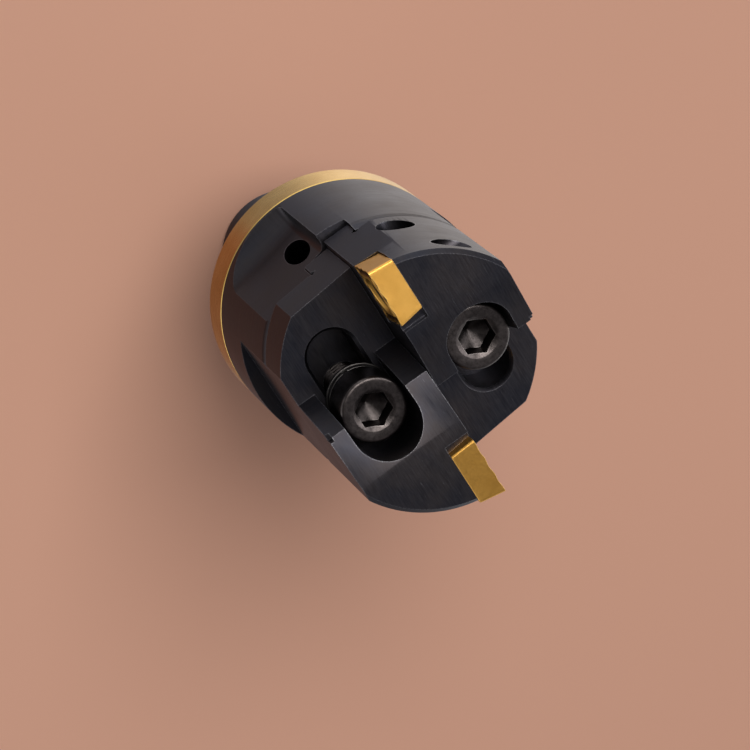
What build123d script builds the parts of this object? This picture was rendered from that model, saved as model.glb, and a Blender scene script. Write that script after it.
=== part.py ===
"""Adjustable twin-cutter rough boring head for 40 to 55 mm bores.

Frame: the origin is the centre of the rear gauge face, +Z runs along the tool axis
towards the cutting end, and +X is the direction in which cartridge A slides outwards.
Everything on the A side is repeated on the B side by half a turn about Z.
"""
import math
import os

from build123d import *

# ---- driving dimensions, millimetres and degrees ---------------------------------
BODY_R = 19.5             # outside radius of the body and of the collar ring
COLLAR_SEAT_R = 17.0      # radius of the body inside the collar ring
COLLAR_HEIGHT = 7.0
COLLAR_CLEARANCE = 0.02
COLLAR_CHAMFER = 0.4

SPIGOT_R = 10.0
SPIGOT_LENGTH = 28.0
SPIGOT_CHAMFER = 0.8

SHOULDER_Z = 31.2         # plane on which both cartridges rest
SHOULDER_CHAMFER = 0.6
SHOULDER_CHAMFER_HEIGHT = 1.8
CHANNEL_FLOOR_Z = 26.8    # floor of the guide channel between the shoulders
CHANNEL_HALF_WIDTH = 4.4
LEDGE_Z = 17.5            # rear end of the flats milled on both sides
SIDE_FLAT = 17.2          # distance of the side flats from the axis
RELIEF_HALF_DIAGONAL = 0.7

GULLET_FLOOR = 16.75      # distance of the gullet floor from the axis
GULLET_TURN = 13.0        # the floor is turned this far about the axis
GULLET_WALL_V = 0.35      # the gullet starts this far from the centre plane
GULLET_RUNOUT_Z = 13.4    # the floor is straight from here to the front
GULLET_RUNOUT_R = 7.7
GULLET_CORNER_R = 1.2

COOLANT_BORE_R = 4.0
COOLANT_BORE_END_Z = 4.0
COOLANT_JET_R = 2.1
COOLANT_JET_START = (0.0, 0.0, -10.9)
COOLANT_JET_EXIT = (-16.45, -3.22, 20.1)
COOLANT_JET_OVERRUN = 6.0  # the drill runs on past the gullet floor

SLIDE_TRAVEL = 7.5        # radial travel of each cartridge
CARTRIDGE_R = 19.5        # outside radius of both cartridges, slid fully in
SPLIT_GAP = 0.05          # each cartridge stays this far from the centre plane
SLIDE_FIT = 0.05          # running clearance of the tongue in the guide channel
TONGUE_BOTTOM_Z = 27.6
HEAD_END_U = 18.3         # end face beside the insert
TAIL_END = 17.04          # distance of the rear end face from the axis
TAIL_TURN = 5.5           # the rear end face is turned this far about the axis
FLANK_START_Z = 43.0      # above this the end face follows the insert's flank
CLAMP_PLANE_Z = 38.9      # low flange that the clamp screw presses on
RAMP_FOOT_U = -4.2
RAMP_TOP_U = -1.5
RAMP_TOP_Z = 49.0
FRONT_START_U = 6.8
FRONT_Z = 51.2
FRONT_CHAMFER = 0.65

CLAMP_V = 9.05            # distance of the clamp screws from the centre plane
SLOT_HALF_WIDTH = 3.75
SLOT_NEAR_U = 0.5
SLOT_CHAMFER = 0.5
HEAD_RELIEF_R = 5.27
HEAD_RELIEF_U = 1.3
EDGE_NOTCH = 1.3          # corner notch where the ramp meets the front land

THREAD_FIT = 0.05         # radial clearance between a thread's plain core and its bore
CLAMP_SCREW_R = 3.0       # M6
CLAMP_SCREW_LENGTH = 25.0
CLAMP_HEAD_R = 5.0
CLAMP_HEAD_HEIGHT = 6.0
CLAMP_SOCKET_AF = 5.0
CLAMP_SOCKET_DEPTH = 3.2
CLAMP_BORE_DEPTH = 16.6
FLAT_WASHER_R = 5.1
FLAT_WASHER_BORE_R = 3.25
FLAT_WASHER_THICKNESS = 0.5
SPRING_WASHER_R = 4.95
SPRING_WASHER_BORE_R = 3.15
SPRING_WASHER_THICKNESS = 1.0
SPRING_WASHER_SPLIT = 0.9

ADJUST_SCREW_R = 2.5      # M5
ADJUST_SCREW_LENGTH = 12.0
ADJUST_SCREW_Z = 35.8
ADJUST_TIP_GAP = 0.02     # between the screw's tip and the clamp screw's shank
ADJUST_SOCKET_AF = 2.5
ADJUST_SOCKET_DEPTH = 3.0
ADJUST_END_CHAMFER = 0.5

INSERT_CIRCLE = 9.525     # inscribed circle of the 80 degree rhombic insert
INSERT_ANGLE = 80.0
INSERT_THICKNESS = 3.97
INSERT_CLEARANCE = 7.0    # relief angle of the insert's sides
INSERT_CORNER_R = 0.4
INSERT_HOLE_R = 2.2
INSERT_SINK_R = 3.1
RAKE_V = 0.1              # the rake face lies this far behind the centre plane
CUTTING_R = 20.0          # smallest cutting radius
CUTTING_Z = 51.9
CHIP_LAND = 0.9           # width of the land around the chip groove
CHIP_GROOVE_DEPTH = 0.25
CHIP_ISLAND_R = 3.5
POCKET_FIT = 0.01
POCKET_DRILL_R = 0.8
POCKET_TAIL_U = 9.1       # the pocket runs on behind the insert to here
POCKET_TAIL_Z = 50.3

INSERT_SCREW_R = 2.0      # M4
INSERT_SCREW_LENGTH = 9.0
INSERT_SCREW_HEAD_R = 2.8
INSERT_SCREW_SINK = 0.5   # the head's face lies this far behind the centre plane
HEAD_CONE_ANGLE = 60.0
TORX_LOBE_CENTRE_R = 1.1
TORX_LOBE_R = 0.45
TORX_CORE_R = 1.2
TORX_DEPTH = 1.5

PIN_R = 3.5               # floating pin that the tool holder's screw clamps
PIN_HALF_LENGTH = 9.2
PIN_FIT = 0.05
PIN_Z = -18.0
PIN_CONE_R = 2.6
PIN_CONE_DEPTH = 2.6
PIN_CHAMFER = 0.7
PIN_TRAVEL = 0.4
PIN_FLAT_DEPTH = 0.6
STOP_SCREW_V = 7.0
STOP_SCREW_R = 1.5        # M3
STOP_DOG_R = 1.0
STOP_DOG_LENGTH = 1.5
STOP_SCREW_START_Z = -27.2
STOP_SOCKET_AF = 1.5
STOP_SOCKET_DEPTH = 1.5

CUT = 60.0                # long enough to cut through the whole tool
TOP_Z = CUTTING_Z + 10.0

# ---- sizes that follow from them -------------------------------------------------
INSERT_SIDE = INSERT_CIRCLE / math.sin(math.radians(INSERT_ANGLE))
FLANK_LEAN = math.radians(90.0 - INSERT_ANGLE)
FLANK_RUN = INSERT_SIDE * math.sin(FLANK_LEAN)
INSERT_CORNERS = (
    (CUTTING_R, CUTTING_Z),
    (CUTTING_R - INSERT_SIDE, CUTTING_Z),
    (CUTTING_R - INSERT_SIDE - FLANK_RUN, CUTTING_Z - INSERT_SIDE * math.cos(FLANK_LEAN)),
    (CUTTING_R - FLANK_RUN, CUTTING_Z - INSERT_SIDE * math.cos(FLANK_LEAN)),
)
INSERT_CENTRE_U = (INSERT_CORNERS[0][0] + INSERT_CORNERS[2][0]) / 2
INSERT_CENTRE_Z = (INSERT_CORNERS[0][1] + INSERT_CORNERS[2][1]) / 2
SEAT_V = RAKE_V + INSERT_THICKNESS
SLOT_FAR_U = -SLIDE_TRAVEL
SPRING_WASHER_Z = CLAMP_PLANE_Z + FLAT_WASHER_THICKNESS
CLAMP_HEAD_Z = SPRING_WASHER_Z + SPRING_WASHER_THICKNESS
HEX = 2 / math.sqrt(3) / 2    # a hexagon's corner radius per unit across flats
SIDES = {"a": 0, "b": 180}    # node suffix and turn about Z


def write_node(shape, name):
    """Label a finished piece and write it as its own STEP file."""
    shape.label = name
    export_step(shape, f"parts/{name}.step")


def write_both_sides(shape, stem):
    """Write a piece of the A side, and its copy half a turn round for the B side."""
    for side, turn in SIDES.items():
        write_node(shape.rotate(Axis.Z, turn), f"{stem}_{side}")


os.makedirs("parts", exist_ok=True)

# ---- body -------------------------------------------------------------------------
# One gullet in front of an insert: a straight floor with a round run-out at its rear.
gullet_wall = Plane.XZ.offset(GULLET_WALL_V)

with BuildPart() as gullet:
    with BuildSketch(Plane.XZ):
        with BuildLine():
            floor = Line((-GULLET_FLOOR, TOP_Z), (-GULLET_FLOOR, GULLET_RUNOUT_Z))
            runout = CenterArc(
                (-GULLET_FLOOR - GULLET_RUNOUT_R, GULLET_RUNOUT_Z),
                GULLET_RUNOUT_R,
                0,
                -90,
            )
            Polyline(runout @ 1, (-CUT, (runout @ 1).Y), (-CUT, TOP_Z), floor @ 0)
        make_face()
    extrude(amount=CUT, both=True)

turned_gullet = gullet.part.rotate(Axis.Z, GULLET_TURN).split(gullet_wall, keep=Keep.TOP)
wall_face = turned_gullet.faces().filter_by(Plane.XZ).sort_by(Axis.Y)[-1]
wall_foot = wall_face.edges().filter_by(
    lambda edge: edge.center().X > -CUT / 2 and edge.center().Z < CUTTING_Z
)
gullet_cutter = turned_gullet.fillet(GULLET_CORNER_R, wall_foot)

with BuildPart() as body:
    # Spigot, collar seat and main barrel turned in one piece.
    with BuildSketch(Plane.XZ):
        with BuildLine():
            Polyline(
                (0, -SPIGOT_LENGTH),
                (SPIGOT_R - SPIGOT_CHAMFER, -SPIGOT_LENGTH),
                (SPIGOT_R, -SPIGOT_LENGTH + SPIGOT_CHAMFER),
                (SPIGOT_R, 0),
                (COLLAR_SEAT_R, 0),
                (COLLAR_SEAT_R, COLLAR_HEIGHT),
                (BODY_R, COLLAR_HEIGHT),
                (BODY_R, SHOULDER_Z - SHOULDER_CHAMFER_HEIGHT),
                (BODY_R - SHOULDER_CHAMFER, SHOULDER_Z),
                (0, SHOULDER_Z),
                close=True,
            )
        make_face()
    revolve(axis=Axis.Z)
    # Guide channel for the cartridges' tongues.
    with BuildSketch(Plane.XY.offset(CHANNEL_FLOOR_Z)):
        Rectangle(CUT, 2 * CHANNEL_HALF_WIDTH)
    extrude(amount=CUT, mode=Mode.SUBTRACT)
    # Flats on both sides, ending on a ledge.
    with BuildSketch(Plane.XY.offset(LEDGE_Z)):
        with Locations((0, SIDE_FLAT + CUT / 2), (0, -SIDE_FLAT - CUT / 2)):
            Rectangle(CUT, CUT)
    extrude(amount=CUT, mode=Mode.SUBTRACT)
    add(gullet_cutter, mode=Mode.SUBTRACT)
    add(gullet_cutter, rotation=(0, 0, 180), mode=Mode.SUBTRACT)
    # Bores for the clamp screws.
    with Locations((0, CLAMP_V, SHOULDER_Z), (0, -CLAMP_V, SHOULDER_Z)):
        Hole(radius=CLAMP_SCREW_R + THREAD_FIT, depth=CLAMP_BORE_DEPTH)
    # Coolant supply through the spigot, with one jet into each gullet.
    with BuildSketch(Plane.XY.offset(-SPIGOT_LENGTH)):
        Circle(COOLANT_BORE_R)
    extrude(amount=SPIGOT_LENGTH + COOLANT_BORE_END_Z, mode=Mode.SUBTRACT)
    for turn in SIDES.values():
        jet_start = Vector(*COOLANT_JET_START)
        jet_exit = Vector(*COOLANT_JET_EXIT).rotate(Axis.Z, turn)
        with BuildSketch(Plane(origin=jet_start, z_dir=jet_exit - jet_start)):
            Circle(COOLANT_JET_R)
        extrude(amount=(jet_exit - jet_start).length + COOLANT_JET_OVERRUN, mode=Mode.SUBTRACT)
    # Cross bore of the floating pin, and the bore of the screw that keeps it in.
    with BuildSketch(Plane(origin=(0, 0, PIN_Z), z_dir=(0, 1, 0))):
        Circle(PIN_R + PIN_FIT)
    extrude(amount=CUT / 2, both=True, mode=Mode.SUBTRACT)
    with BuildSketch(Plane.XY.offset(-SPIGOT_LENGTH)):
        with Locations((0, STOP_SCREW_V)):
            Circle(STOP_SCREW_R + THREAD_FIT)
    extrude(amount=SPIGOT_LENGTH + PIN_Z, mode=Mode.SUBTRACT)

# ---- collar ring ------------------------------------------------------------------
with BuildPart() as collar_ring:
    with BuildSketch():
        Circle(BODY_R)
        Circle(COLLAR_SEAT_R + COLLAR_CLEARANCE, mode=Mode.SUBTRACT)
    extrude(amount=COLLAR_HEIGHT)
    outer_edges = collar_ring.edges().filter_by(GeomType.CIRCLE).sort_by(SortBy.RADIUS)[-2:]
    chamfer(outer_edges, COLLAR_CHAMFER)

# ---- cartridge, A side ------------------------------------------------------------
# The insert's pocket: an L-shaped seat that is open to the front and to the outside.
POCKET_CORNER = (INSERT_CORNERS[2][0] - POCKET_FIT, INSERT_CORNERS[2][1] - POCKET_FIT)
POCKET_TOP_U = POCKET_CORNER[0] + (TOP_Z - POCKET_CORNER[1]) * math.tan(FLANK_LEAN)

with BuildPart() as pocket:
    with BuildSketch(Plane.XZ.offset(RAKE_V)) as pocket_outline:
        with BuildLine():
            Polyline(
                POCKET_CORNER,
                (CUT, POCKET_CORNER[1]),
                (CUT, TOP_Z),
                (POCKET_TOP_U, TOP_Z),
                close=True,
            )
        make_face()
    extrude(amount=INSERT_THICKNESS, taper=INSERT_CLEARANCE)
    extrude(pocket_outline.sketch, amount=-RAKE_V)
    with BuildSketch(Plane.XZ):
        with Locations(POCKET_CORNER):
            Circle(POCKET_DRILL_R)
    extrude(amount=SEAT_V)
    with BuildSketch(Plane.XZ):
        with BuildLine():
            Polyline(
                (POCKET_TAIL_U, POCKET_TAIL_Z),
                (CUTTING_R, POCKET_TAIL_Z),
                (CUTTING_R, TOP_Z),
                (POCKET_TAIL_U, TOP_Z),
                close=True,
            )
        make_face()
    extrude(amount=SEAT_V)

with BuildPart() as cartridge:
    # Side profile: low clamping flange, ramp, sloping land and full-height head.
    with BuildSketch(Plane.XZ.offset(SPLIT_GAP)):
        with BuildLine():
            Polyline(
                (-CARTRIDGE_R, SHOULDER_Z),
                (HEAD_END_U, SHOULDER_Z),
                (HEAD_END_U, FLANK_START_Z),
                (HEAD_END_U + (FRONT_Z - FLANK_START_Z) * math.tan(FLANK_LEAN), FRONT_Z),
                (FRONT_START_U, FRONT_Z),
                (RAMP_TOP_U, RAMP_TOP_Z),
                (RAMP_FOOT_U, CLAMP_PLANE_Z),
                (-CARTRIDGE_R, CLAMP_PLANE_Z),
                close=True,
            )
        make_face()
    extrude(amount=SIDE_FLAT - SPLIT_GAP)
    # Half of the tongue that fills the guide channel.
    with BuildSketch(Plane.XZ.offset(SPLIT_GAP)):
        with BuildLine():
            Polyline(
                (-CARTRIDGE_R, TONGUE_BOTTOM_Z),
                (HEAD_END_U, TONGUE_BOTTOM_Z),
                (HEAD_END_U, SHOULDER_Z),
                (-CARTRIDGE_R, SHOULDER_Z),
                close=True,
            )
        make_face()
    extrude(amount=CHANNEL_HALF_WIDTH - SLIDE_FIT - SPLIT_GAP)
    # Round outside, bevelled at the front.
    with BuildSketch(Plane.XZ):
        with BuildLine():
            Polyline(
                (0, TONGUE_BOTTOM_Z),
                (CARTRIDGE_R, TONGUE_BOTTOM_Z),
                (CARTRIDGE_R, FRONT_Z - FRONT_CHAMFER),
                (CARTRIDGE_R - FRONT_CHAMFER, FRONT_Z),
                (0, FRONT_Z),
                close=True,
            )
        make_face()
    revolve(axis=Axis.Z, mode=Mode.INTERSECT)
    # Rear end face.
    with BuildSketch(Plane.XY.rotated((0, 0, TAIL_TURN))):
        with Locations((-TAIL_END - CUT / 2, 0)):
            Rectangle(CUT, 2 * CUT)
    extrude(amount=TOP_Z, mode=Mode.SUBTRACT)
    # Relief groove in the corner between tongue and shoulder.
    relief_plane = Plane(origin=(0, -CHANNEL_HALF_WIDTH, SHOULDER_Z), z_dir=(1, 0, 0))
    with BuildSketch(relief_plane):
        RegularPolygon(RELIEF_HALF_DIAGONAL, side_count=4)
    extrude(amount=CUT / 2, both=True, mode=Mode.SUBTRACT)
    # Slot for the clamp screw, long enough for the whole travel.
    with BuildSketch(Plane.XY.offset(SHOULDER_Z)):
        with Locations(((SLOT_NEAR_U + SLOT_FAR_U) / 2, -CLAMP_V)):
            SlotCenterToCenter(SLOT_NEAR_U - SLOT_FAR_U, 2 * SLOT_HALF_WIDTH)
    extrude(amount=CUT, mode=Mode.SUBTRACT)
    with BuildSketch(Plane.XY.offset(CLAMP_PLANE_Z)):
        with Locations(((SLOT_NEAR_U + SLOT_FAR_U) / 2, -CLAMP_V)):
            SlotCenterToCenter(SLOT_NEAR_U - SLOT_FAR_U, 2 * (SLOT_HALF_WIDTH + SLOT_CHAMFER))
    extrude(amount=-SLOT_CHAMFER, taper=45, mode=Mode.SUBTRACT)
    # Room for the screw's head and washers beside the ramp.
    with BuildSketch(Plane.XY.offset(CLAMP_PLANE_Z)):
        with Locations(((HEAD_RELIEF_U - CUT) / 2, -CLAMP_V)):
            SlotCenterToCenter(HEAD_RELIEF_U + CUT, 2 * HEAD_RELIEF_R)
    extrude(amount=CUT, mode=Mode.SUBTRACT)
    # Small corner notch at the top of the ramp.
    with BuildSketch(Plane.XY.offset(RAMP_TOP_Z - EDGE_NOTCH)):
        with Locations((RAMP_TOP_U, -SIDE_FLAT)):
            Rectangle(EDGE_NOTCH, EDGE_NOTCH)
    extrude(amount=CUT, mode=Mode.SUBTRACT)
    add(pocket.part, mode=Mode.SUBTRACT)
    # Bore of the adjusting screw, from the outside into the slot.
    with BuildSketch(Plane(origin=(0, -CLAMP_V, ADJUST_SCREW_Z), z_dir=(1, 0, 0))):
        Circle(ADJUST_SCREW_R + THREAD_FIT)
    extrude(amount=CUT, mode=Mode.SUBTRACT)
    # Bore of the insert screw, right through the head.
    with BuildSketch(Plane.XZ.offset(SPLIT_GAP)):
        with Locations((INSERT_CENTRE_U, INSERT_CENTRE_Z)):
            Circle(INSERT_SCREW_R + THREAD_FIT)
    extrude(amount=CUT, mode=Mode.SUBTRACT)

# ---- insert, A side ---------------------------------------------------------------
with BuildPart() as insert:
    with BuildSketch(Plane.XZ.offset(RAKE_V)):
        with BuildLine():
            Polyline(*INSERT_CORNERS, close=True)
        make_face()
        fillet(vertices(), INSERT_CORNER_R)
    extrude(amount=INSERT_THICKNESS, taper=INSERT_CLEARANCE)
    # Chip groove inside the cutting land, around a flat island.
    with BuildSketch(Plane.XZ.offset(RAKE_V)):
        with BuildLine():
            Polyline(*INSERT_CORNERS, close=True)
        make_face()
        offset(amount=-CHIP_LAND)
        with Locations((INSERT_CENTRE_U, INSERT_CENTRE_Z)):
            Circle(CHIP_ISLAND_R, mode=Mode.SUBTRACT)
    extrude(amount=CHIP_GROOVE_DEPTH, mode=Mode.SUBTRACT)
    insert_face = Plane(
        origin=(INSERT_CENTRE_U, -RAKE_V, INSERT_CENTRE_Z),
        x_dir=(1, 0, 0),
        z_dir=(0, 1, 0),
    )
    with Locations(insert_face):
        CounterSinkHole(INSERT_HOLE_R, INSERT_SINK_R, counter_sink_angle=HEAD_CONE_ANGLE)

# ---- insert screw, A side ---------------------------------------------------------
HEAD_CONE_LENGTH = (INSERT_SCREW_HEAD_R - INSERT_SCREW_R) / math.tan(math.radians(HEAD_CONE_ANGLE / 2))
screw_face = Plane(
    origin=(INSERT_CENTRE_U, -INSERT_SCREW_SINK, INSERT_CENTRE_Z),
    x_dir=(1, 0, 0),
    z_dir=(0, -1, 0),
)

with BuildPart() as insert_screw:
    with BuildSketch(screw_face):
        Circle(INSERT_SCREW_HEAD_R)
    extrude(amount=HEAD_CONE_LENGTH, taper=HEAD_CONE_ANGLE / 2)
    with BuildSketch(screw_face):
        Circle(INSERT_SCREW_R)
    extrude(amount=INSERT_SCREW_LENGTH)
    with BuildSketch(screw_face):
        Circle(TORX_CORE_R)
        with PolarLocations(TORX_LOBE_CENTRE_R, 6):
            Circle(TORX_LOBE_R)
    extrude(amount=TORX_DEPTH, mode=Mode.SUBTRACT)

# ---- clamp screw with its washers, A side -----------------------------------------
with BuildPart() as clamp_screw:
    with BuildSketch(Plane.XY.offset(CLAMP_HEAD_Z)):
        with Locations((0, -CLAMP_V)):
            Circle(CLAMP_HEAD_R)
    extrude(amount=CLAMP_HEAD_HEIGHT)
    chamfer(clamp_screw.edges().group_by(Axis.Z)[-1], ADJUST_END_CHAMFER)
    with BuildSketch(Plane.XY.offset(CLAMP_HEAD_Z)):
        with Locations((0, -CLAMP_V)):
            Circle(CLAMP_SCREW_R)
    extrude(amount=-CLAMP_SCREW_LENGTH)
    chamfer(clamp_screw.edges().group_by(Axis.Z)[0], ADJUST_END_CHAMFER)
    with BuildSketch(Plane.XY.offset(CLAMP_HEAD_Z + CLAMP_HEAD_HEIGHT)):
        with Locations((0, -CLAMP_V)):
            RegularPolygon(CLAMP_SOCKET_AF * HEX, side_count=6)
    extrude(amount=-CLAMP_SOCKET_DEPTH, mode=Mode.SUBTRACT)

with BuildPart() as flat_washer:
    with BuildSketch(Plane.XY.offset(CLAMP_PLANE_Z)):
        with Locations((0, -CLAMP_V)):
            Circle(FLAT_WASHER_R)
            Circle(FLAT_WASHER_BORE_R, mode=Mode.SUBTRACT)
    extrude(amount=FLAT_WASHER_THICKNESS)

with BuildPart() as spring_washer:
    with BuildSketch(Plane.XY.offset(SPRING_WASHER_Z)):
        with Locations((0, -CLAMP_V)):
            Circle(SPRING_WASHER_R)
            Circle(SPRING_WASHER_BORE_R, mode=Mode.SUBTRACT)
        with Locations((-SPRING_WASHER_R, -CLAMP_V)):
            Rectangle(SPRING_WASHER_R, SPRING_WASHER_SPLIT, mode=Mode.SUBTRACT)
    extrude(amount=SPRING_WASHER_THICKNESS)

# ---- adjusting screw, A side ------------------------------------------------------
ADJUST_TIP_U = CLAMP_SCREW_R + ADJUST_TIP_GAP
adjust_tip = Plane(origin=(ADJUST_TIP_U, -CLAMP_V, ADJUST_SCREW_Z), z_dir=(1, 0, 0))

with BuildPart() as adjusting_screw:
    with BuildSketch(adjust_tip):
        Circle(ADJUST_SCREW_R)
    extrude(amount=ADJUST_SCREW_LENGTH)
    chamfer(adjusting_screw.edges().filter_by(GeomType.CIRCLE), ADJUST_END_CHAMFER)
    with BuildSketch(adjust_tip.offset(ADJUST_SCREW_LENGTH)):
        RegularPolygon(ADJUST_SOCKET_AF * HEX, side_count=6)
    extrude(amount=-ADJUST_SOCKET_DEPTH, mode=Mode.SUBTRACT)

# ---- floating pin and its stop screw ----------------------------------------------
with BuildPart() as coupling_pin:
    with BuildSketch(Plane(origin=(0, 0, PIN_Z), z_dir=(0, 1, 0))):
        Circle(PIN_R)
    extrude(amount=PIN_HALF_LENGTH, both=True)
    chamfer(coupling_pin.edges().filter_by(GeomType.CIRCLE), PIN_CHAMFER)
    # A cone at each end for the points of the tool holder's screws.
    for end in (1, -1):
        end_face = Plane(origin=(0, end * PIN_HALF_LENGTH, PIN_Z), z_dir=(0, -end, 0))
        with BuildSketch(end_face):
            Circle(PIN_CONE_R)
        extrude(amount=PIN_CONE_DEPTH - PIN_FIT, taper=45, mode=Mode.SUBTRACT)
    # Short flat that gives the stop screw's dog its play.
    flat_bottom = Plane.XY.offset(PIN_Z - PIN_R + PIN_FLAT_DEPTH)
    with BuildSketch(flat_bottom):
        with Locations((0, STOP_SCREW_V)):
            Rectangle(2 * PIN_R, 2 * (STOP_DOG_R + PIN_TRAVEL + PIN_FIT))
    extrude(amount=-PIN_R, mode=Mode.SUBTRACT)

STOP_DOG_TOP_Z = PIN_Z - PIN_R + PIN_FLAT_DEPTH - PIN_FIT

with BuildPart() as pin_stop_screw:
    with BuildSketch(Plane.XY.offset(STOP_SCREW_START_Z)):
        with Locations((0, STOP_SCREW_V)):
            Circle(STOP_SCREW_R)
    extrude(amount=STOP_DOG_TOP_Z - STOP_DOG_LENGTH - STOP_SCREW_START_Z)
    with BuildSketch(Plane.XY.offset(STOP_DOG_TOP_Z)):
        with Locations((0, STOP_SCREW_V)):
            Circle(STOP_DOG_R)
    extrude(amount=-STOP_DOG_LENGTH)
    with BuildSketch(Plane.XY.offset(STOP_SCREW_START_Z)):
        with Locations((0, STOP_SCREW_V)):
            RegularPolygon(STOP_SOCKET_AF * HEX, side_count=6)
    extrude(amount=STOP_SOCKET_DEPTH, mode=Mode.SUBTRACT)

# ---- finished pieces --------------------------------------------------------------
write_node(body.part, "body")
write_node(collar_ring.part, "collar_ring")
write_node(coupling_pin.part, "coupling_pin")
write_node(pin_stop_screw.part, "pin_stop_screw")
write_both_sides(cartridge.part, "cartridge")
write_both_sides(insert.part, "insert")
write_both_sides(insert_screw.part, "insert_screw")
write_both_sides(clamp_screw.part, "clamp_screw")
write_both_sides(flat_washer.part, "flat_washer")
write_both_sides(spring_washer.part, "spring_washer")
write_both_sides(adjusting_screw.part, "adjusting_screw")
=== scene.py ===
"""Looks of the twin-cutter boring head: materials, detailed small parts, light and camera.

The tool's axis is Z and its cartridges slide along X. Lengths are in millimetres, and MM turns them
into the metres of the frame. Colours are linear.
"""

import math

import bmesh
import bpy
from mathutils import Matrix, Vector


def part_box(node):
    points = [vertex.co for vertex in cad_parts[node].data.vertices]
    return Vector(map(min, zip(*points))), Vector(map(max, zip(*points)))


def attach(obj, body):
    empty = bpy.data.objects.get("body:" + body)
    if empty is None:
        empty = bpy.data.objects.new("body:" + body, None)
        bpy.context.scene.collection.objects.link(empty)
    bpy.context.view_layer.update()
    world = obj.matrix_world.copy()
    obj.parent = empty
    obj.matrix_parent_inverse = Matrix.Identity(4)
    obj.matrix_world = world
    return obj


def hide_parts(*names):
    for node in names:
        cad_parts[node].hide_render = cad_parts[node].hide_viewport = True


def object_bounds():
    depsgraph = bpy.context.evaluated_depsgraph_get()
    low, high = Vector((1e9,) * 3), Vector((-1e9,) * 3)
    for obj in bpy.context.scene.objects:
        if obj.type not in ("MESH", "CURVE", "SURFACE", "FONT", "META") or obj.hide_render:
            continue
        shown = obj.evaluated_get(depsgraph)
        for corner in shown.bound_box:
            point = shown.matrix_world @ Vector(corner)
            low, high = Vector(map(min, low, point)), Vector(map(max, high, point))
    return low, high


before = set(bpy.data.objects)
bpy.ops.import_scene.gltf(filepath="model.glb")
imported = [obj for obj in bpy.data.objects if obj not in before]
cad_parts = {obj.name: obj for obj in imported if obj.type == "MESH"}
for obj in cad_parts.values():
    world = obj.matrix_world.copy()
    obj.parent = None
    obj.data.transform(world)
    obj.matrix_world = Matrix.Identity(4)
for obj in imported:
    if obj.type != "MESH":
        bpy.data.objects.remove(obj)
cad_low, cad_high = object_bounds()

MM = 0.001
TAU = 2 * math.pi
SIDES = {"a": 1, "b": -1}     # sign of X on each side of the tool


# ==== shader helpers ===============================================================
def add_node(tree, kind, inputs=None, **settings):
    """Create a shader node; an input given as a socket is linked, any other is set."""
    node = tree.nodes.new(kind)
    for key, value in settings.items():
        setattr(node, key, value)
    for key, value in (inputs or {}).items():
        if isinstance(value, bpy.types.NodeSocket):
            tree.links.new(value, node.inputs[key])
        else:
            node.inputs[key].default_value = value
    return node


def start_material(name):
    mat = bpy.data.materials.new(name)
    mat.use_nodes = True
    tree = mat.node_tree
    return mat, tree, tree.nodes["Principled BSDF"]


def position_mm(tree):
    """Object coordinates in millimetres."""
    coords = add_node(tree, "ShaderNodeTexCoord")
    scaled = add_node(
        tree, "ShaderNodeVectorMath",
        {0: coords.outputs["Object"], "Scale": 1 / MM}, operation="SCALE",
    )
    return scaled.outputs["Vector"]


def noise(tree, vector, scale=1.0, detail=3.0, rough=0.55):
    node = add_node(
        tree, "ShaderNodeTexNoise",
        {"Vector": vector, "Scale": scale, "Detail": detail, "Roughness": rough},
    )
    return node.outputs["Fac"]


def stretched(tree, vector, scale):
    """Draw a pattern out along the directions in which the scale is small."""
    node = add_node(tree, "ShaderNodeMapping", {"Vector": vector, "Scale": scale})
    return node.outputs["Vector"]


def remap(tree, value, source, target=(0.0, 1.0)):
    """Carry a value from one range to another and hold it at the ends."""
    node = add_node(
        tree, "ShaderNodeMapRange",
        {
            "Value": value, "From Min": source[0], "From Max": source[1],
            "To Min": target[0], "To Max": target[1],
        },
    )
    return node.outputs["Result"]


def math_node(tree, operation, a, b=0.0):
    return add_node(tree, "ShaderNodeMath", {0: a, 1: b}, operation=operation).outputs[0]


def mix_colour(tree, factor, a, b):
    node = add_node(
        tree, "ShaderNodeMix", {"Factor": factor, "A": a, "B": b}, data_type="RGBA",
    )
    return node.outputs["Result"]


def edge_mask(tree, radius, strength):
    """Near 1 on convex and concave edges, 0 on open faces."""
    bevel = add_node(tree, "ShaderNodeBevel", {"Radius": radius * MM}, samples=4)
    geometry = add_node(tree, "ShaderNodeNewGeometry")
    dot = add_node(
        tree, "ShaderNodeVectorMath",
        {0: bevel.outputs["Normal"], 1: geometry.outputs["Normal"]}, operation="DOT_PRODUCT",
    )
    return remap(tree, dot.outputs["Value"], (1.0, 1.0 - strength))


def worn_edges(tree, fine, radius, strength, start, least):
    """Wear along the edges, from its least amount up to full where the fine noise is high."""
    broken = remap(tree, fine, (start, 0.6), (least, 1.0))
    return math_node(tree, "MULTIPLY", edge_mask(tree, radius, strength), broken)


def shaded(tree, colour, deepest):
    """Painted shade: darken by the mesh attribute "shade" in grooves, threads, sockets and under heads,
    where shade falls.
    """
    shade = add_node(tree, "ShaderNodeAttribute", attribute_name="shade")
    return mix_colour(tree, shade.outputs["Fac"], colour, deepest)


def facing_up(tree):
    """1 on faces square to the tool axis, 0 on faces along it."""
    geometry = add_node(tree, "ShaderNodeNewGeometry")
    split = add_node(tree, "ShaderNodeSeparateXYZ", {0: geometry.outputs["Normal"]})
    return math_node(tree, "ABSOLUTE", split.outputs["Z"])


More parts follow.
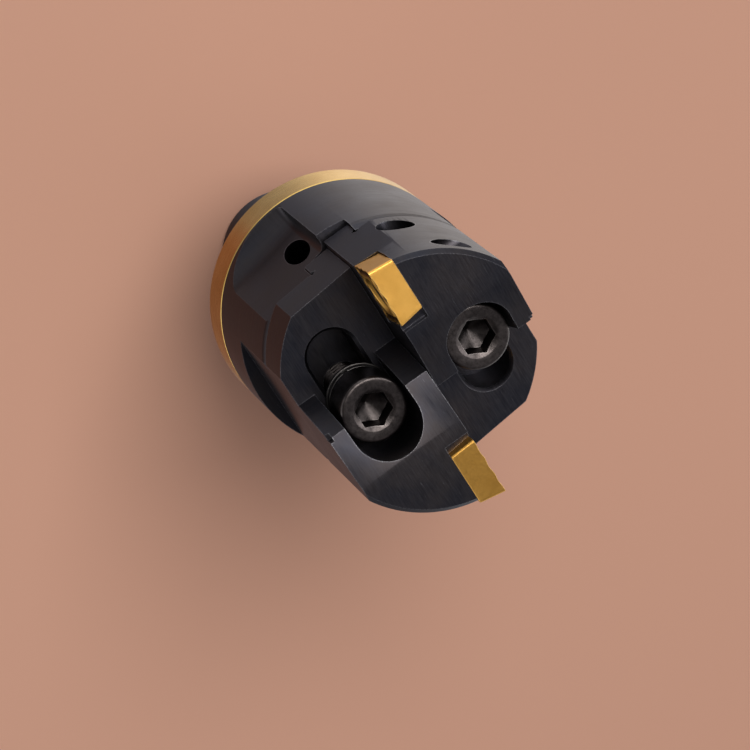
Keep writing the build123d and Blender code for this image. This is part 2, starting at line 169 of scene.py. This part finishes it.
def machined_grain(tree, position):
    """Turning rings round the barrel, cutter marks along the slide on faces across the axis."""
    rings = noise(tree, stretched(tree, position, (0.12, 0.12, 9.0)), detail=4.0, rough=0.7)
    marks = noise(tree, stretched(tree, position, (0.35, 7.0, 0.35)), detail=4.0, rough=0.7)
    node = add_node(
        tree, "ShaderNodeMix", {"Factor": facing_up(tree), "A": rings, "B": marks},
        data_type="FLOAT",
    )
    return node.outputs["Result"]


def connect_metal(tree, bsdf, colour, rough, height, relief):
    """Join the finished channels to the shader; relief is the height of the bumps."""
    bump = add_node(
        tree, "ShaderNodeBump", {"Height": height, "Distance": relief * MM, "Strength": 1.0},
    )
    tree.links.new(colour, bsdf.inputs["Base Color"])
    tree.links.new(rough, bsdf.inputs["Roughness"])
    tree.links.new(bump.outputs["Normal"], bsdf.inputs["Normal"])
    bsdf.inputs["Metallic"].default_value = 1.0


# ==== materials ====================================================================
OXIDE_COOL = (0.036, 0.037, 0.048, 1)
OXIDE_WARM = (0.050, 0.043, 0.044, 1)
OXIDE_STREAK = (0.085, 0.082, 0.088, 1)
OXIDE_SCRATCH = (0.22, 0.22, 0.24, 1)
OXIDE_EDGE = (0.32, 0.32, 0.34, 1)
# Painted shade: the colours that grooves, threads, sockets and the parts under heads are darkened
# towards.
GOLD_PAINTED_SHADE = (0.08, 0.030, 0.012, 1)
STEEL_PAINTED_SHADE = (0.012, 0.011, 0.011, 1)
PAPER_DARK = (0.64, 0.345, 0.24, 1)
PAPER_LIGHT = (0.67, 0.365, 0.255, 1)


def black_oxide():
    """Blackened steel: machining marks, patches of fine scratches, and edges worn bright."""
    mat, tree, bsdf = start_material("black_oxide")
    position = position_mm(tree)
    patches = noise(tree, position, scale=0.11, detail=4.0, rough=0.6)
    grain = machined_grain(tree, position)
    fine = noise(tree, position, scale=5.0, rough=0.6)
    colour = mix_colour(tree, remap(tree, patches, (0.35, 0.65)), OXIDE_COOL, OXIDE_WARM)
    streaks = remap(tree, grain, (0.35, 0.7), (0.0, 0.35))
    colour = mix_colour(tree, streaks, colour, OXIDE_STREAK)
    lines = noise(tree, stretched(tree, position, (0.5, 4.5, 0.5)), detail=5.0, rough=0.8)
    scratches = math_node(
        tree, "MULTIPLY", remap(tree, lines, (0.62, 0.72), (0.0, 0.5)),
        remap(tree, noise(tree, position, scale=0.16), (0.45, 0.6)),
    )
    colour = mix_colour(tree, scratches, colour, OXIDE_SCRATCH)
    worn = worn_edges(tree, fine, radius=0.28, strength=0.35, start=0.38, least=0.15)
    colour = mix_colour(tree, worn, colour, OXIDE_EDGE)
    rough = math_node(
        tree, "ADD", remap(tree, grain, (0.3, 0.7), (0.30, 0.44)),
        remap(tree, patches, (0.3, 0.7), (-0.04, 0.05)),
    )
    height = math_node(tree, "ADD", grain, math_node(tree, "MULTIPLY", fine, 0.5))
    connect_metal(tree, bsdf, colour, rough, height, relief=0.006)
    return mat


def gold_coat(name, base, deep, edge, rough, stretch):
    """Gold-coloured coating over marks that are stretched along X, Y and Z, with painted shade where
    the attribute "shade" is set.
    """
    mat, tree, bsdf = start_material(name)
    position = position_mm(tree)
    patches = noise(tree, position, scale=0.25, detail=4.0, rough=0.6)
    fine = noise(tree, position, scale=7.0, rough=0.6)
    marks = noise(tree, stretched(tree, position, stretch), rough=0.6)
    colour = mix_colour(tree, remap(tree, patches, (0.35, 0.65)), base, deep)
    worn = worn_edges(tree, fine, radius=0.18, strength=0.4, start=0.4, least=0.3)
    colour = shaded(tree, mix_colour(tree, worn, colour, edge), GOLD_PAINTED_SHADE)
    roughness = remap(tree, math_node(tree, "ADD", marks, fine), (0.7, 1.3), rough)
    height = math_node(tree, "ADD", marks, math_node(tree, "MULTIPLY", fine, 0.6))
    connect_metal(tree, bsdf, colour, roughness, height, relief=0.004)
    return mat


def plain_steel(name, dark, light, edge, rough):
    """Patchy steel with worn edges, and painted shade where the attribute "shade" is set."""
    mat, tree, bsdf = start_material(name)
    position = position_mm(tree)
    patches = noise(tree, position, scale=1.3, detail=5.0, rough=0.7)
    fine = noise(tree, position, scale=6.0, detail=4.0, rough=0.65)
    colour = mix_colour(tree, remap(tree, patches, (0.35, 0.65)), dark, light)
    worn = worn_edges(tree, fine, radius=0.3, strength=0.35, start=0.36, least=0.25)
    colour = shaded(tree, mix_colour(tree, worn, colour, edge), STEEL_PAINTED_SHADE)
    roughness = remap(tree, fine, (0.3, 0.7), rough)
    connect_metal(tree, bsdf, colour, roughness, fine, relief=0.008)
    return mat


def floor_paper():
    mat, tree, bsdf = start_material("floor_paper")
    patches = noise(tree, position_mm(tree), scale=0.004, detail=2.0, rough=0.5)
    colour = mix_colour(tree, remap(tree, patches, (0.3, 0.7)), PAPER_DARK, PAPER_LIGHT)
    tree.links.new(colour, bsdf.inputs["Base Color"])
    bsdf.inputs["Roughness"].default_value = 0.85
    return mat


OXIDE = black_oxide()
RING_GOLD = gold_coat(
    "ring_gold", base=(0.85, 0.57, 0.18, 1), deep=(0.76, 0.48, 0.13, 1),
    edge=(0.97, 0.82, 0.50, 1), rough=(0.24, 0.34), stretch=(0.15, 0.15, 10.0),
)
INSERT_GOLD = gold_coat(
    "insert_gold", base=(0.84, 0.46, 0.10, 1), deep=(0.76, 0.40, 0.08, 1),
    edge=(0.98, 0.76, 0.36, 1), rough=(0.34, 0.46), stretch=(3.0, 3.0, 3.0),
)
SCREW_STEEL = plain_steel(
    "screw_steel", dark=(0.06, 0.053, 0.051, 1), light=(0.11, 0.097, 0.092, 1),
    edge=(0.36, 0.33, 0.31, 1), rough=(0.26, 0.42),
)
WASHER_STEEL = plain_steel(
    "washer_steel", dark=(0.05, 0.046, 0.045, 1), light=(0.08, 0.075, 0.072, 1),
    edge=(0.22, 0.21, 0.2, 1), rough=(0.3, 0.45),
)
CAP_STEEL = plain_steel(
    "cap_steel", dark=(0.05, 0.043, 0.041, 1), light=(0.105, 0.09, 0.086, 1),
    edge=(0.40, 0.36, 0.34, 1), rough=(0.26, 0.42),
)
GROUND_STEEL = plain_steel(
    "ground_steel", dark=(0.42, 0.42, 0.42, 1), light=(0.52, 0.52, 0.52, 1),
    edge=(0.7, 0.7, 0.7, 1), rough=(0.22, 0.34),
)


# ==== CAD nodes that stay ==========================================================
WELD_DISTANCE = 0.002
FLAT_ANGLE = math.radians(0.4)       # faces closer to parallel than this become one
BEVEL_ANGLE = math.radians(25)       # edges sharper than this are softened
BODY_BEVEL = 0.18
RING_BEVEL = 0.08
SMALL_BEVEL = 0.05


def finish_node(name, material, bevel_width):
    """Give a CAD node its material and soften its edges with modifiers."""
    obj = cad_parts[name]
    obj.data.materials.clear()
    obj.data.materials.append(material)
    for polygon in obj.data.polygons:
        polygon.material_index = 0
        polygon.use_smooth = True
    if "custom_normal" in obj.data.attributes:
        obj.data.attributes.remove(obj.data.attributes["custom_normal"])
    weld = obj.modifiers.new("weld", "WELD")
    weld.merge_threshold = WELD_DISTANCE * MM
    dissolve = obj.modifiers.new("dissolve", "DECIMATE")
    dissolve.decimate_type = "DISSOLVE"
    dissolve.angle_limit = FLAT_ANGLE
    bevel = obj.modifiers.new("bevel", "BEVEL")
    bevel.width = bevel_width * MM
    bevel.segments = 2
    bevel.limit_method = "ANGLE"
    bevel.angle_limit = BEVEL_ANGLE
    bevel.miter_outer = "MITER_ARC"
    bevel.use_clamp_overlap = True
    normals = obj.modifiers.new("normals", "WEIGHTED_NORMAL")
    normals.keep_sharp = True


for node in ("body", "cartridge_a", "cartridge_b"):
    finish_node(node, OXIDE, BODY_BEVEL)
finish_node("collar_ring", RING_GOLD, RING_BEVEL)
finish_node("coupling_pin", GROUND_STEEL, SMALL_BEVEL)
finish_node("pin_stop_screw", SCREW_STEEL, SMALL_BEVEL)


# ==== building detailed pieces ====================================================
SHARP_ANGLE = 38                     # degrees; edges above this are shaded as sharp


def row_mesh(name, rows, closed=False, shades=None, sharp=SHARP_ANGLE):
    """A closed mesh through rows of equally many points; without closed, both ends are capped.

    shades gives each row a value for the shader attribute "shade", which paints shade.
    """
    bm = bmesh.new()
    shade = bm.verts.layers.float.new("shade")
    loops = [[bm.verts.new(point) for point in row] for row in rows]
    if shades:
        for loop, value in zip(loops, shades):
            for vert in loop:
                vert[shade] = value
    count = len(loops[0])
    pairs = list(zip(loops, loops[1:]))
    if closed:
        pairs.append((loops[-1], loops[0]))
    for first, second in pairs:
        for i in range(count):
            j = (i + 1) % count
            bm.faces.new((first[i], first[j], second[j], second[i]))
    if not closed:
        for loop in (loops[0], loops[-1]):
            middle = bm.verts.new(sum((vert.co for vert in loop), Vector()) / count)
            for i in range(count):
                bm.faces.new((loop[i], loop[(i + 1) % count], middle))
    bmesh.ops.recalc_face_normals(bm, faces=bm.faces)
    for face in bm.faces:
        face.smooth = True
    for edge in bm.edges:
        edge.smooth = edge.calc_face_angle(0) < math.radians(sharp)
    mesh = bpy.data.meshes.new(name)
    bm.to_mesh(mesh)
    bm.free()
    obj = bpy.data.objects.new(name, mesh)
    bpy.context.scene.collection.objects.link(obj)
    return obj


def lathe(name, profile, place, segments=144):
    """A piece turned about local Z. A ring's radius and height are numbers or functions of the angle.

    A third value in a ring is its painted shade, the attribute "shade".
    """
    rows = []
    for radius, height, *_ in profile:
        row = []
        for step in range(segments):
            angle = TAU * step / segments
            r = radius(angle) if callable(radius) else radius
            z = height(angle) if callable(height) else height
            row.append(place @ (Vector((r * math.cos(angle), r * math.sin(angle), z)) * MM))
        rows.append(row)
    return row_mesh(name, rows, shades=[ring[2] if len(ring) > 2 else 0.0 for ring in profile])


def arc(radius, height, size, start, end, steps=3):
    """Round stretch of a profile about the given centre; 0 degrees is outwards and 90 is up."""
    angles = [math.radians(start + (end - start) * step / steps) for step in range(steps + 1)]
    return [(radius + size * math.cos(angle), height + size * math.sin(angle)) for angle in angles]


def fit_piece(obj, node, body, material):
    """Let a piece stand for a CAD node and move with a body."""
    obj.data.materials.append(material)
    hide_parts(node)
    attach(obj, body)


def along(origin, direction):
    """Placement with local Z along a direction."""
    turn = Vector(direction).to_track_quat("Z", "Y").to_matrix().to_4x4()
    return Matrix.Translation(origin) @ turn


def node_middle(node):
    node_low, node_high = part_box(node)
    return (node_low + node_high) / 2, node_low, node_high


# ==== outlines of screws ===========================================================
DIM, DARK, DARKEST = 0.5, 0.6, 0.7   # values of painted shade (the attribute "shade") under heads, in threads and in sockets


def hexagon(across_flats):
    """Outline of a hexagon, as its radius at an angle."""
    def radius(angle):
        return across_flats / 2 / math.cos(angle % (TAU / 6) - TAU / 12)
    return radius


def star(core, tip):
    """Six-lobed driver outline."""
    def radius(angle):
        return core + (tip - core) * (0.5 + 0.5 * math.cos(6 * angle)) ** 0.8
    return radius


def knurl(outer, depth, ridges):
    """Outline of a ridged grip."""
    def radius(angle):
        return outer - depth * abs(2 * ((angle / TAU * ridges) % 1) - 1)
    return radius


def mouth(opening, edge_radius, top):
    """Height of a 120 degree conical chamfer, where it meets the walls of a socket."""
    def height(angle):
        return top - (edge_radius - opening(angle)) * math.tan(math.radians(30))
    return height


def thread(outer, pitch, low, high, chamfer=0.5):
    """Rings of a helical V thread of one start, with a chamfer at the low end."""
    depth = 0.58 * pitch
    crest, flank = 0.12, 0.72        # shares of half a pitch
    rings_per_pitch = 8

    def radius_at(z):
        limit = outer - max(0.0, chamfer - (z - low))

        def radius(angle):
            turn = (z / pitch - angle / TAU) % 1
            groove = min(1.0, max(0.0, (1 - abs(2 * turn - 1) - crest) / flank))
            return min(limit, outer - depth * groove)
        return radius
    count = round((high - low) / pitch * rings_per_pitch)
    heights = [low + (high - low) * step / count for step in range(count + 1)]
    return [(radius_at(z), z, DARK) for z in heights]


HEX_CLAMP = hexagon(5.0)
HEX_ADJUST = hexagon(2.5)
STAR_DRIVE = star(1.02, 1.5)
SMALL_SEGMENTS = 96


# ==== screws and washers ===========================================================
CAP_HEIGHT = 6.0                     # socket cap screw M6 x 25
CAP_LENGTH = 25.0
CAP_MOUTH = (3.12, 5.96)             # radius and height of the edge of its socket's chamfer
CAP_GRIP = knurl(5.0, 0.13, 72)
SET_LENGTH = 12.0                    # socket set screw M5
SET_MOUTH = (1.6, 0.0)
STAR_LENGTH = 9.0                    # countersunk screw M4
STAR_MOUTH = (1.6, -0.1)
WASHER_EDGE = 0.12
FLAT_WASHER_RADIUS = 5.1
SPRING_WASHER_GAP = 0.9


def add_clamp_screw(side):
    """Socket cap screw M6: knurled head, round socket mouth, drilled socket bottom."""
    middle, _, high = node_middle(f"clamp_screw_{side}")
    place = Matrix.Translation((middle.x, middle.y, high.z - CAP_HEIGHT * MM))
    profile = thread(outer=3.0, pitch=1.0, low=-CAP_LENGTH, high=-1.0)
    profile += [(2.9, -0.6, DARK), (3.0, -0.25, DARK), (3.15, 0.0, DARK)]
    profile += [(4.75, 0.0, DIM), (4.9, 0.12, DIM), (CAP_GRIP, 0.4, DIM), (CAP_GRIP, 4.9, DIM)]
    profile += [(4.93, 5.05), (4.97, 5.3), *arc(4.52, 5.55, 0.45, 0, 80), (4.4, CAP_HEIGHT)]
    profile += [(3.3, CAP_HEIGHT), CAP_MOUTH, (HEX_CLAMP, mouth(HEX_CLAMP, *CAP_MOUTH))]
    profile += [(HEX_CLAMP, 2.8, DARK), (2.4, 2.7, DIM), (0.1, 1.5, DARKEST)]
    screw = lathe(f"cap_screw_{side}", profile, place)
    fit_piece(screw, f"clamp_screw_{side}", f"clamp_screw_{side}", CAP_STEEL)


def add_adjusting_screw(side, sign):
    """Set screw M5 with a hex socket in its outer end."""
    middle, low, high = node_middle(f"adjusting_screw_{side}")
    outer_end = high.x if sign > 0 else low.x
    place = along((outer_end, middle.y, middle.z), (sign, 0, 0))
    profile = thread(outer=2.5, pitch=0.8, low=-SET_LENGTH, high=-0.5)
    profile += [(2.1, -0.02), (2.0, 0.0), (1.62, 0.0), (HEX_ADJUST, mouth(HEX_ADJUST, *SET_MOUTH))]
    profile += [(HEX_ADJUST, -3.0), (0.05, -3.5)]
    screw = lathe(f"set_screw_{side}", profile, place, SMALL_SEGMENTS)
    fit_piece(screw, f"adjusting_screw_{side}", f"adjusting_screw_{side}", CAP_STEEL)


def add_insert_screw(side, sign):
    """Countersunk screw M4 with a six-lobed drive."""
    middle, low, high = node_middle(f"insert_screw_{side}")
    face = high.y if sign > 0 else low.y
    place = along((middle.x, face, middle.z), (0, sign, 0))
    profile = thread(outer=2.0, pitch=0.7, low=-STAR_LENGTH, high=-2.2, chamfer=0.4)
    profile += [(1.9, -1.9), (1.97, -1.45), (2.75, -0.1), (2.72, -0.03), (2.5, 0.0)]
    profile += [(1.75, -0.06), STAR_MOUTH, (STAR_DRIVE, mouth(STAR_DRIVE, *STAR_MOUTH))]
    profile += [(STAR_DRIVE, -1.4), (0.9, -1.45), (0.05, -1.7)]
    screw = lathe(f"star_screw_{side}", profile, place, SMALL_SEGMENTS)
    fit_piece(screw, f"insert_screw_{side}", f"insert_screw_{side}", CAP_STEEL)


def washer_section(inner, outer, thickness):
    """Rounded rectangle as (radius, height) points."""
    right, left = outer - WASHER_EDGE, inner + WASHER_EDGE
    bottom, top = WASHER_EDGE, thickness - WASHER_EDGE
    centres = ((right, bottom, -90), (right, top, 0), (left, top, 90), (left, bottom, 180))
    points = []
    for radius, height, start in centres:
        points += arc(radius, height, WASHER_EDGE, start, start + 90)
    return points


def add_washer(side, stem, inner, outer, thickness, gap=0.0):
    """Ring swept round its axis; a gap makes it a split spring washer."""
    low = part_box(f"{stem}_{side}")[0]
    middle, flat_low, _ = node_middle(f"flat_washer_{side}")
    axis = Vector((flat_low.x + FLAT_WASHER_RADIUS * MM, middle.y, low.z))
    section = washer_section(inner, outer, thickness)
    half_gap = math.asin(gap / 2 / outer)
    start = math.pi if side == "a" else 0.0
    rows = []
    for step in range(SMALL_SEGMENTS + (1 if gap else 0)):
        angle = start + half_gap + (TAU - 2 * half_gap) * step / SMALL_SEGMENTS
        across = Vector((math.cos(angle), math.sin(angle), 0))
        rows.append([axis + (across * radius + Vector((0, 0, z))) * MM for radius, z in section])
    washer = row_mesh(f"{stem}_ring_{side}", rows, closed=not gap)
    fit_piece(washer, f"{stem}_{side}", f"clamp_washers_{side}", WASHER_STEEL)


# ==== inserts ======================================================================
INSERT_HALF = 9.525 / 2              # radius of the inscribed circle
INSERT_THICKNESS = 3.97
INSERT_LEAN = math.radians(10)       # two sides of an 80 degree rhombus lean by this
INSERT_RELIEF = math.radians(7)
INSERT_NOSE = 0.4
INSERT_SHARP_ANGLE = 9
NOSE_STEPS = 6
SIDE_STEPS = 30
DIP_DEPTH = 0.17
DIPS_PER_SIDE = 3

# Inset from the edge, depth below the face, share of the edge's dips, painted shade in the groove.
CHIP_BREAKER = (
    (0.01, 0.05, 1, 0), (0.05, 0.0, 1, 0), (0.28, 0.03, 1, 0.6), (0.5, 0.2, 0.8, 0.9),
    (0.75, 0.3, 0.2, 1), (1.0, 0.32, -0.5, 1), (1.2, 0.22, -0.4, 0.8), (1.42, 0.06, 0, 0.3),
    (1.52, 0.03, 0, 0),
)
# Radius, depth below the face, painted shade in the hole.
SCREW_SEAT = (
    (3.12, 0.03, 0), (3.02, 0.12, 0.2), (2.25, 1.5, 0.5), (2.2, 1.7, 0.5), (2.2, 3.8, 0.5),
    (2.35, INSERT_THICKNESS, 0),
)


def insert_outline():
    """Points of the rounded rhombus about its centre, with the place of each along its side."""
    shear = INSERT_HALF * math.tan(INSERT_LEAN)
    slant = INSERT_HALF / math.cos(INSERT_LEAN)
    corners = [
        Vector((slant + shear, INSERT_HALF)), Vector((-slant + shear, INSERT_HALF)),
        Vector((-slant - shear, -INSERT_HALF)), Vector((slant - shear, -INSERT_HALF)),
    ]
    points = []
    for i, corner in enumerate(corners):
        following = corners[(i + 1) % 4]
        before = (corners[i - 1] - corner).normalized()
        after = (following - corner).normalized()
        half_angle = before.angle(after) / 2
        cut = INSERT_NOSE / math.tan(half_angle)
        next_cut = INSERT_NOSE * math.tan(half_angle)    # neighbouring angles add up to 180 degrees
        centre = corner + (before + after).normalized() * INSERT_NOSE / math.sin(half_angle)
        start, end = (corner + leg * cut - centre for leg in (before, after))
        for step in range(NOSE_STEPS + 1):
            points.append((centre + start.slerp(end, step / NOSE_STEPS) * INSERT_NOSE, 0.0))
        first, last = corner + after * cut, following - after * next_cut
        for step in range(1, SIDE_STEPS):
            points.append((first.lerp(last, step / SIDE_STEPS), step / SIDE_STEPS))
    return points


def dip(along_side):
    """How far the cutting edge dips, in equal waves that fade out towards the corners."""
    fade = min(1.0, 4 * along_side, 4 * (1 - along_side))
    return DIP_DEPTH * fade * (0.5 - 0.5 * math.cos(TAU * DIPS_PER_SIDE * along_side))


def inset_loop(outline, inset, depth, wave=0.0):
    """The outline moved in by an inset; a wave factor makes it follow the dips."""
    scale = (INSERT_HALF - inset) / INSERT_HALF
    return [(point.x * scale, point.y * scale, depth + wave * dip(t)) for point, t in outline]


def round_loop(outline, radius, depth):
    """A circle with its points in the same directions as the outline's."""
    directions = [point.normalized() for point, _ in outline]
    return [(away.x * radius, away.y * radius, depth) for away in directions]


def add_insert(side, sign):
    """Coated insert with a moulded chip breaker, honed edges and a countersunk hole."""
    middle, low, high = node_middle(f"insert_{side}")
    centre = Vector((middle.x, high.y if sign > 0 else low.y, middle.z))
    outline = insert_outline()
    taper = math.tan(INSERT_RELIEF)
    base_chamfer = 0.08
    flank = [(INSERT_THICKNESS * taper + base_chamfer, INSERT_THICKNESS)]
    flank += [(depth * taper, depth) for depth in (INSERT_THICKNESS - 0.1, 2.0, 0.5)]
    loops = [(inset_loop(outline, inset, depth), 0.0) for inset, depth in flank]
    for inset, depth, wave, shade in CHIP_BREAKER:
        loops.append((inset_loop(outline, inset, depth, wave), shade))
    for radius, depth, shade in SCREW_SEAT:
        loops.append((round_loop(outline, radius, depth), shade))
    rows = [
        [centre + Vector((sign * x, -sign * depth, y)) * MM for x, y, depth in points]
        for points, _ in loops
    ]
    insert = row_mesh(
        f"chipbreaker_insert_{side}", rows, closed=True, shades=[shade for _, shade in loops],
        sharp=INSERT_SHARP_ANGLE,
    )
    fit_piece(insert, f"insert_{side}", f"cartridge_{side}", INSERT_GOLD)


for side, sign in SIDES.items():
    add_clamp_screw(side)
    add_adjusting_screw(side, sign)
    add_insert_screw(side, sign)
    add_washer(side, "flat_washer", inner=3.25, outer=FLAT_WASHER_RADIUS, thickness=0.5)
    add_washer(side, "spring_washer", inner=3.15, outer=4.95, thickness=1.0, gap=SPRING_WASHER_GAP)
    add_insert(side, sign)


# ==== floor and lights =============================================================
FLOOR_SIZE = 1.6                     # metres, as are the lights' sizes and distances
FLOOR_GAP = 0.02

# Colour of the low surroundings from the -Y side to the +Y side.
LOW_STOPS = (
    (0.00, (0.16, 0.070, 0.050, 1)), (0.31, (0.27, 0.118, 0.080, 1)),
    (0.40, (0.27, 0.225, 0.225, 1)), (0.60, (0.28, 0.26, 0.285, 1)),
    (0.78, (0.50, 0.475, 0.51, 1)), (0.92, (1.25, 1.15, 1.08, 1)),
)
PANEL_GAP = (0.34, 0.34, 0.36, 1)
PANEL_LIGHT = (1.25, 1.27, 1.3, 1)
HIGH_DARK = (0.10, 0.09, 0.09, 1)
HIGH_LIGHT = (0.34, 0.34, 0.37, 1)
BACKDROP = (0.62, 0.42, 0.33, 1)
PANELS = 3.0                         # number of bright panels round the horizon


def add_floor():
    """Floor just under the tool, hidden from mirror-like reflections."""
    bm = bmesh.new()
    bmesh.ops.create_grid(bm, x_segments=8, y_segments=8, size=FLOOR_SIZE)
    mesh = bpy.data.meshes.new("floor")
    bm.to_mesh(mesh)
    bm.free()
    mesh.materials.append(floor_paper())
    floor = bpy.data.objects.new("floor", mesh)
    floor.location = (0, 0, cad_low.z - FLOOR_GAP * MM)
    floor.visible_glossy = False
    bpy.context.scene.collection.objects.link(floor)
    return floor


def add_area_light(name, direction, distance, size, power, colour):
    """A soft rectangular light in the given direction from the tool, aimed at it."""
    light = bpy.data.lights.new(name, "AREA")
    light.shape = "RECTANGLE"
    light.size, light.size_y = size
    light.energy = power
    light.color = colour
    obj = bpy.data.objects.new(name, light)
    away = Vector(direction).normalized()
    obj.location = (cad_low + cad_high) / 2 + away * distance
    obj.rotation_euler = away.to_track_quat("Z", "Y").to_euler()
    bpy.context.scene.collection.objects.link(obj)
    return obj


def keep_off(light, obj):
    """Keep a light off one object."""
    group = bpy.data.collections.new("unlit")
    group.objects.link(obj)
    group.collection_objects[0].light_linking.link_state = "EXCLUDE"
    light.light_linking.receiver_collection = group


def add_low_surroundings(tree, across):
    """Colours from the -Y side to the +Y side, for directions below the tool."""
    ramp = add_node(tree, "ShaderNodeValToRGB", {"Fac": remap(tree, across, (-0.5, 0.5))})
    stops = ramp.color_ramp.elements
    stops[0].position, stops[0].color = LOW_STOPS[0]
    stops[1].position, stops[1].color = LOW_STOPS[-1]
    for position, colour in LOW_STOPS[1:-1]:
        stops.new(position).color = colour
    return ramp.outputs["Color"]


def add_world():
    """Soft surroundings: warm and dark low on the -Y side, pale on the +Y side; plain to the camera."""
    world = bpy.data.worlds.new("studio")
    world.use_nodes = True
    tree = world.node_tree
    coords = add_node(tree, "ShaderNodeTexCoord")
    split = add_node(tree, "ShaderNodeSeparateXYZ", {0: coords.outputs["Generated"]})
    height = split.outputs["Z"]
    across = split.outputs["Y"]
    below = add_low_surroundings(tree, across)
    # Broad soft panels round the horizon, with quieter gaps between them.
    bearing = math_node(tree, "ARCTAN2", across, split.outputs["X"])
    swing = math_node(tree, "SINE", math_node(tree, "MULTIPLY", bearing, PANELS))
    panels = mix_colour(tree, remap(tree, swing, (-0.9, 0.9)), PANEL_GAP, PANEL_LIGHT)
    above = mix_colour(tree, remap(tree, across, (-0.6, 0.8)), HIGH_DARK, HIGH_LIGHT)
    lower = mix_colour(tree, remap(tree, height, (-0.78, -0.42)), below, panels)
    around = mix_colour(tree, remap(tree, height, (0.15, 0.6)), lower, above)
    path = add_node(tree, "ShaderNodeLightPath")
    seen = mix_colour(tree, path.outputs["Is Camera Ray"], around, BACKDROP)
    tree.links.new(seen, tree.nodes["Background"].inputs["Color"])
    bpy.context.scene.world = world


floor = add_floor()
key = add_area_light(
    "key", direction=(0.15, 0.75, 0.65), distance=0.9, size=(0.6, 0.5), power=3.0,
    colour=(1.0, 0.99, 1.0),
)
keep_off(key, floor)
add_area_light(
    "overhead", direction=(-0.38, 0.22, 0.90), distance=1.1, size=(0.65, 0.65), power=8.2,
    colour=(1.0, 0.98, 0.96),
)
add_world()


# ==== camera =======================================================================
# The viewing direction is the photograph's: the angles were fitted to the tool's visible outlines.
CAMERA_AZIMUTH = math.radians(-165.907)
CAMERA_ELEVATION = math.radians(66.352)
CAMERA_ROLL = math.radians(-131.675)
CAMERA_TARGET = Vector((13.027, -1.884, 5.332)) * MM
CAMERA_DISTANCE = 613.5 * MM
SENSOR_WIDTH = 36.0
FOCAL_LENGTH = 192.0


def add_camera():
    """A view from above the front face, rolled so that the tool's axis runs to the lower right."""
    away = Vector((
        math.cos(CAMERA_ELEVATION) * math.cos(CAMERA_AZIMUTH),
        math.cos(CAMERA_ELEVATION) * math.sin(CAMERA_AZIMUTH),
        math.sin(CAMERA_ELEVATION),
    ))
    upright = (Vector((0, 0, 1)) - away * away.z).normalized()
    side = upright.cross(away)
    up = upright * math.cos(CAMERA_ROLL) + side * math.sin(CAMERA_ROLL)
    right = up.cross(away)
    camera = bpy.data.cameras.new("camera")
    camera.sensor_width = SENSOR_WIDTH
    camera.lens = FOCAL_LENGTH
    camera.clip_start = 0.05
    obj = bpy.data.objects.new("camera", camera)
    rotation = Matrix((right, up, away)).transposed()
    obj.matrix_world = Matrix.Translation(CAMERA_TARGET + away * CAMERA_DISTANCE) @ rotation.to_4x4()
    bpy.context.scene.collection.objects.link(obj)
    bpy.context.scene.camera = obj


add_camera()
bpy.context.scene.view_settings.view_transform = "Standard"
